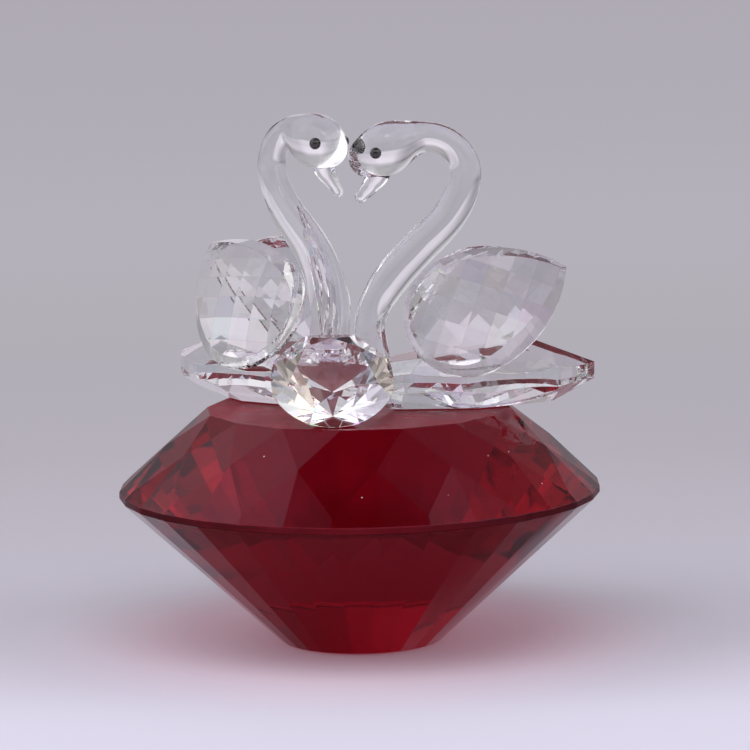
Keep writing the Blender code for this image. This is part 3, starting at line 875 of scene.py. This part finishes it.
normals = face_normals(block)
heights = np.array([p.center.z for p in block.data.polygons])
level = (normals[:, 2] > 0.999) & (heights > table_level - 0.1 * MM)
wall = np.abs(normals[:, 2]) < 0.2
crown = normals[:, 2] >= 0.3
face_values(block, "grind", np.select([level, wall], [0.22, 0.45], 0.05))
face_values(block, "dulled", np.select([level, ~crown], [1.00, 0.80], 0.0))
face_values(block, "dulled_rim", np.select([level, crown], [0.60, 0.50], 0.0))
face_values(block, "film", np.select([level, wall], [0.20, 0.04], 0.0))
print("table faces:", int(level.sum()), "girdle faces:", int(wall.sum()))

# %% [markdown]
# Two effects are shared by all the glass, so each is a node group. The first is dust. It lies in specks, only
# on faces that look up, and more in some places than in others. Scattered grains would be thousands of
# pieces, so it is a mask instead: small discs round the points of a cell pattern, some picked by chance.


# %% Shared effect: dust specks
def new_group(name, inputs, outputs):
    """A shader node group with float inputs (name, value) and outputs (name, socket type)."""
    group = bpy.data.node_groups.new(name, "ShaderNodeTree")
    for label, value in inputs:
        group.interface.new_socket(label, in_out="INPUT", socket_type="NodeSocketFloat").default_value = value
    for label, kind in outputs:
        group.interface.new_socket(label, in_out="OUTPUT", socket_type=kind)
    return group, group.nodes.new("NodeGroupInput"), group.nodes.new("NodeGroupOutput")


SMALLEST, LARGEST = 0.03, 0.13
STEEP, SHALLOW = 0.15, 0.6
dust_group, given, result = new_group(
    "dust specks", (("Grain", 600.0), ("Amount", 0.1)), (("Mask", "NodeSocketFloat"),)
)
place = node(dust_group, "TexCoord")
cells = node(
    dust_group, "TexVoronoi", {"feature": "F1"}, Vector=place.outputs["Object"], Scale=given.outputs["Grain"]
)
pick = node(dust_group, "SeparateColor", Color=cells.outputs["Color"])
patchy = node(dust_group, "TexNoise", Vector=place.outputs["Object"], Scale=90.0, Detail=3.0)
chance = calc(dust_group, "MULTIPLY", given.outputs["Amount"], patchy.outputs["Fac"])
chosen = calc(dust_group, "LESS_THAN", pick.outputs["Red"], chance)
size = node(dust_group, "MapRange", Value=pick.outputs["Green"], To_Min=SMALLEST, To_Max=LARGEST)
speck = calc(dust_group, "LESS_THAN", cells.outputs["Distance"], size.outputs["Result"])
shape = node(dust_group, "NewGeometry")
facing = node(dust_group, "SeparateXYZ", Vector=shape.outputs["Normal"])
upward = soft_step(dust_group, facing.outputs["Z"], STEEP, SHALLOW)
mask = calc(dust_group, "MULTIPLY", calc(dust_group, "MULTIPLY", chosen, speck), upward)
dust_group.links.new(mask, result.inputs["Mask"])
print("node group:", dust_group.name)

# %% [markdown]
# The second is the skin of the glass: broad faint waves left by polishing or by the flame, and fine hairlines
# from wiping. Both are far too shallow to model. The hairlines are a noise stretched along one direction, of
# which only the highest ridges are kept.

# %% Shared effect: polished skin
STRETCH = (60.0, 2400.0, 2400.0)
WIPED_ALONG = (0.3, 0.7, 0.5)
RIDGE_LOW, RIDGE_HIGH = 0.66, 0.72
polish_group, given, result = new_group(
    "polished skin", (("Wave", 0.02), ("Wave Size", 150.0), ("Hairlines", 0.01)),
    (("Normal", "NodeSocketVector"),),
)
place = node(polish_group, "TexCoord")
waves = node(
    polish_group, "TexNoise", Vector=place.outputs["Object"], Scale=given.outputs["Wave Size"], Detail=1.0
)
hills = node(
    polish_group, "Bump", Height=waves.outputs["Fac"], Strength=given.outputs["Wave"], Distance=0.002
)
drawn_out = node(
    polish_group, "Mapping", Vector=place.outputs["Object"], Rotation=WIPED_ALONG, Scale=STRETCH
)
hair = node(polish_group, "TexNoise", Vector=drawn_out.outputs["Vector"], Scale=1.0, Detail=1.0)
ridge = node(polish_group, "MapRange", Value=hair.outputs["Fac"], From_Min=RIDGE_LOW, From_Max=RIDGE_HIGH)
lines = node(
    polish_group, "Bump", Height=ridge.outputs["Result"], Strength=given.outputs["Hairlines"],
    Distance=0.0002, Normal=hills.outputs["Normal"],
)
polish_group.links.new(lines.outputs["Normal"], result.inputs["Normal"])
print("node groups:", [group.name for group in bpy.data.node_groups])

# %% [markdown]
# A worn face scatters what it mirrors. How rough it is comes from the face, in uneven patches, as handling
# leaves it. The photo also shows only faint mirror images on the outside of the red block. So seen square on,
# an outer face mixes in plain bending, which has no mirror; at a glance the mirror comes back. From inside,
# nothing changes, because the light that the stone keeps in depends on it.


# %% Worn faces
PATCHES = 160.0


def use_group(tree, group, **values):
    """A group node with its inputs set by name."""
    return node(tree, "Group", {"node_tree": group}, **values)


def face_value(tree, name):
    """One of the numbers that every face carries."""
    return node(tree, "Attribute", {"attribute_name": name}).outputs["Fac"]


def handled(tree):
    """Uneven patches about 6 mm across, as handling leaves them."""
    place = node(tree, "TexCoord")
    return node(tree, "TexNoise", Vector=place.outputs["Object"], Scale=PATCHES, Detail=4.0).outputs["Fac"]


def worn_roughness(tree, patches):
    """The roughness a face is ground to, 0.6 to 1.3 times."""
    share = node(tree, "MapRange", Value=patches, From_Min=0.3, From_Max=0.7, To_Min=0.6, To_Max=1.3)
    return calc(tree, "MULTIPLY", face_value(tree, "grind"), share.outputs["Result"])


def dull_mirror(tree, surface, tint, ior, rough, normal):
    """Mix plain bending over the outer mirror. With m = 0 seen square on and 1 at a glance, the share is
    max(dulled - m, 0) + dulled_rim * m on the outside of the glass, and 0 on the inside."""
    bend = node(
        tree, "BsdfRefraction", Color=(*(value**0.5 for value in tint), 1.0), Roughness=rough, IOR=ior,
        Normal=normal,
    )
    shape = node(tree, "NewGeometry")
    outside = calc(tree, "SUBTRACT", 1.0, shape.outputs["Backfacing"])
    glancing = soft_step(tree, node(tree, "Fresnel", IOR=ior).outputs["Fac"], 0.11, 0.33)
    share = calc(tree, "SUBTRACT", face_value(tree, "dulled"), glancing, clamp=True)
    share = node(
        tree, "Math", {"operation": "MULTIPLY_ADD"}, _0=face_value(tree, "dulled_rim"), _1=glancing, _2=share
    )
    share = calc(tree, "MULTIPLY", share.outputs["Value"], outside)
    return mix_shaders(tree, share, surface, bend.outputs["BSDF"])


print("patches about", round(1 / PATCHES / MM, 1), "mm across")

# %% [markdown]
# Film and dust lie on the glass. Both are matt colour mixed over it: film as a thin even share, dust as the
# specks of the node group.

# %% Film and dust
LINT = (0.60, 0.50, 0.52, 1.0)
DUST_GRAIN = 900.0


def add_film(tree, surface, colour, patches):
    """Matt film over the surface, by the share that each face carries, 0.6 to 1.5 times in patches."""
    uneven = node(tree, "MapRange", Value=patches, From_Min=0.35, From_Max=0.70, To_Min=0.6, To_Max=1.5)
    share = calc(tree, "MULTIPLY", face_value(tree, "film"), uneven.outputs["Result"])
    return mix_shaders(tree, share, surface, node(tree, "BsdfDiffuse", Color=colour).outputs["BSDF"])


def add_dust(tree, surface, amount):
    """Specks of lint over the surface."""
    specks = use_group(tree, dust_group, Grain=DUST_GRAIN, Amount=amount)
    lint = node(tree, "BsdfPrincipled", Base_Color=LINT, Roughness=0.9)
    return mix_shaders(tree, specks.outputs["Mask"], surface, lint.outputs["BSDF"])


print("dust cells about", round(1 / DUST_GRAIN / MM, 1), "mm across")

# %% [markdown]
# There are four glasses: the clear stones, the softer glass of the necks, the red, and the brilliant, which
# bends light most. The bend of light and the mirror tint are the same all over a piece, so they stay plain
# numbers on the shader. The red glass takes most of the green and blue out of the light at its skin and the
# rest on the way through, so thick parts go deeper than thin ones.


# %% Glass materials
POLISH_WAVES = 150.0


def glass_material(name, tint, ior, wave, hairlines, dust, mirror=(1.0, 1.0, 1.0), worn=False, film=None):
    """Glass: a tinted refracting skin; faces marked as glued let light pass unbent; specks of dust on top. A
    worn glass also reads how rough each face is ground and how much of its outer mirror is dulled. A film
    colour adds the film."""
    made, tree = new_material(name)
    skin = use_group(tree, polish_group, Wave=wave, Wave_Size=POLISH_WAVES, Hairlines=hairlines)
    # Each face's painted light (painted reflection shade, painted fire, painted glints and shade) multiplies
    # the glass colour.
    facet = node(tree, "Attribute", {"attribute_name": "facet_painted_light"})
    colour = node(
        tree, "Mix", {"data_type": "RGBA", "blend_type": "MULTIPLY"}, _0=1.0, _6=(*tint, 1.0),
        _7=facet.outputs["Color"],
    )
    patches = handled(tree) if worn or film else None
    rough = worn_roughness(tree, patches) if worn else 0.0
    surface = node(
        tree, "BsdfPrincipled", Base_Color=colour.outputs["Result"], Roughness=rough, IOR=ior,
        Transmission_Weight=1.0, Specular_Tint=(*mirror, 1.0), Normal=skin.outputs["Normal"],
    ).outputs["BSDF"]
    if worn:
        surface = dull_mirror(tree, surface, tint, ior, rough, skin.outputs["Normal"])
    joint = node(
        tree, "BsdfPrincipled", Base_Color=colour.outputs["Result"], Roughness=0.0, IOR=1.0,
        Transmission_Weight=1.0,
    )
    surface = mix_shaders(tree, face_value(tree, "glued"), surface, joint.outputs["BSDF"])
    if film:
        surface = add_film(tree, surface, (*film, 1.0), patches)
    node(tree, "OutputMaterial", Surface=add_dust(tree, surface, dust))
    return made


CLEAR = (0.99, 0.99, 1.0)
stone_glass = glass_material("clear stone glass", CLEAR, 1.54, 0.01, 0.02, 0.05)
neck_glass = glass_material("neck glass", (0.93, 0.935, 0.945), 1.5, 0.06, 0.0, 0.03)
red_glass = glass_material(
    "ruby glass", (0.36, 0.006, 0.020), 1.52, 0.01, 0.02, 0.14, mirror=(1.0, 0.42, 0.66), worn=True,
    film=(0.60, 0.10, 0.14),
)
tree = red_glass.node_tree
depth = node(tree, "VolumeAbsorption", Color=(0.44, 0.0, 0.03, 1.0), Density=14.0)
tree.links.new(depth.outputs["Volume"], tree.nodes["Material Output"].inputs["Volume"])
gem_glass = glass_material("brilliant glass", CLEAR, 1.56, 0.01, 0.02, 0.05, film=(0.95, 0.66, 0.74))
for material, pieces in (
    (stone_glass, [*bodies, *wings]), (red_glass, [block]), (gem_glass, [brilliant]), (neck_glass, necks)
):
    for made in pieces:
        made.data.materials.clear()
        made.data.materials.append(material)
print("glasses:", stone_glass.name, neck_glass.name, red_glass.name, gem_glass.name)

# %% [markdown]
# The eyes are drops of black glass melted into the heads. They are nearly black, with a faint bottle-brown
# swirl, and so smooth that they show the panels of the room as small white points.

# %% Eye material
black, tree = new_material("black eye glass")
place = node(tree, "TexCoord")
swirl = node(tree, "TexNoise", Vector=place.outputs["Object"], Scale=900.0, Detail=3.0, Distortion=1.5)
shade = node(tree, "ValToRGB", Fac=swirl.outputs["Fac"])
shade.color_ramp.elements[0].color = (0.004, 0.004, 0.005, 1.0)
shade.color_ramp.elements[1].color = (0.022, 0.018, 0.016, 1.0)
skin = use_group(tree, polish_group, Wave=0.05, Wave_Size=700.0, Hairlines=0.0)
surface = node(
    tree, "BsdfPrincipled", Base_Color=shade.outputs["Color"], Roughness=0.04, Normal=skin.outputs["Normal"],
    Coat_Weight=0.6, Coat_Roughness=0.02,
)
node(tree, "OutputMaterial", Surface=surface.outputs["BSDF"])
for name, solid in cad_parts.items():
    if name.endswith("_eye"):
        solid.data.materials.clear()
        solid.data.materials.append(black)
print("materials:", [material.name for material in bpy.data.materials])
